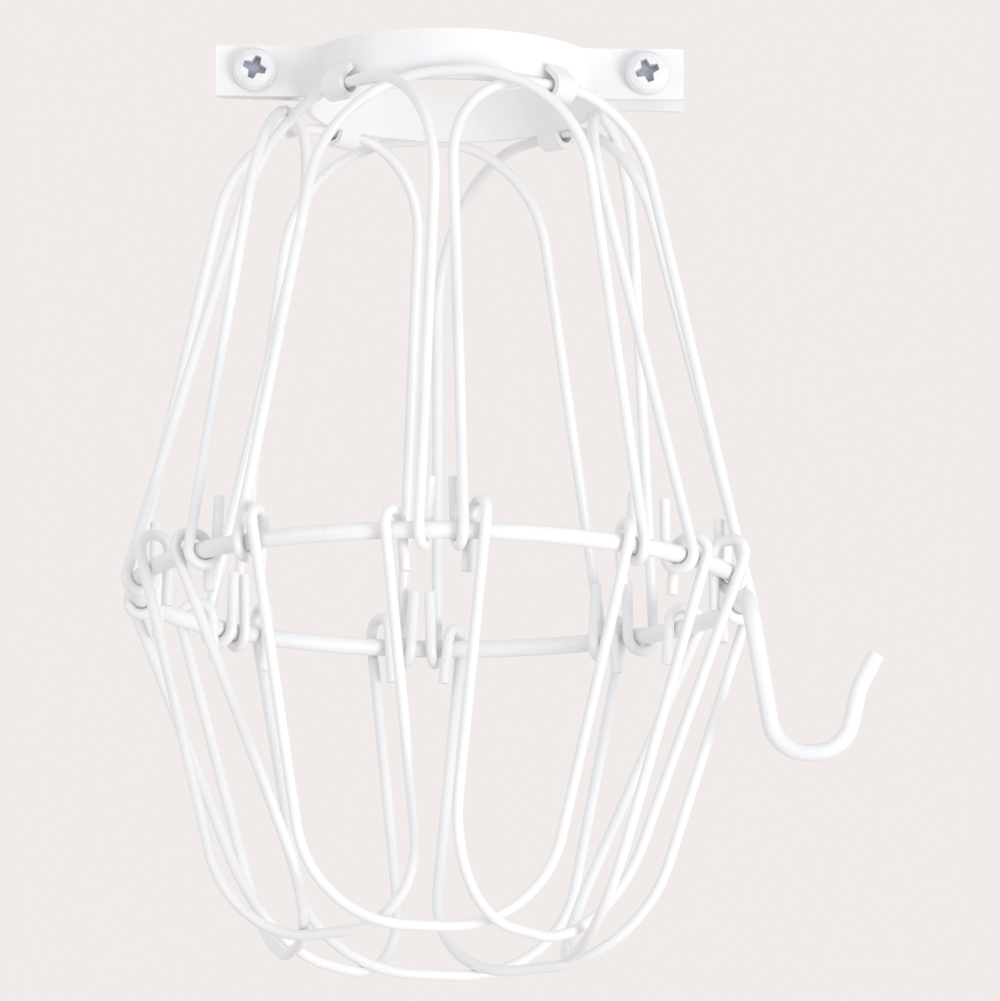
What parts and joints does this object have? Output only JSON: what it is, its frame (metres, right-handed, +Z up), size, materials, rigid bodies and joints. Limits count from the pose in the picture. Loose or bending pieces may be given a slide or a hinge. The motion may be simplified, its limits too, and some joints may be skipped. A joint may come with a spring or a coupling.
{
  "type": "bulb cage guard",
  "caption": "Woven wire basket guard that clamps on a lamp socket, shields the bulb and hangs from a side hook; coated steel, two-piece clamp collar.",
  "frame": {"origin": "on the clamp collar's axis, at half the height of the collar's band", "axes": "+Z up along the collar's axis, the basket hangs below; front towards -Y; clamp ears along X, hanging hook towards +X"},
  "size_m": [0.1399, 0.1199, 0.1679],
  "materials": {
    "white_coat": "white coating over steel wire and strip, satin to semi-gloss",
    "screw_white": "pale coated screw head, dark inside the cross recess",
    "nut_zinc": "plain zinc"
  },
  "bodies": {
    "root": {"collar_front": "white_coat", "collar_rear": "white_coat", "waist_ring": "white_coat", "upper_loop_1": "white_coat", "upper_loop_2": "white_coat", "upper_loop_3": "white_coat", "upper_loop_4": "white_coat", "upper_loop_5": "white_coat", "upper_loop_6": "white_coat", "upper_loop_7": "white_coat", "upper_loop_8": "white_coat", "lower_loop_1": "white_coat", "lower_loop_2": "white_coat", "lower_loop_3": "white_coat", "lower_loop_4": "white_coat", "lower_loop_5": "white_coat", "lower_loop_6": "white_coat", "lower_loop_7": "white_coat", "lower_loop_8": "white_coat", "screw_left": "screw_white", "screw_right": "screw_white", "nut_left": "nut_zinc", "nut_right": "nut_zinc"}
  },
  "joints": []
}
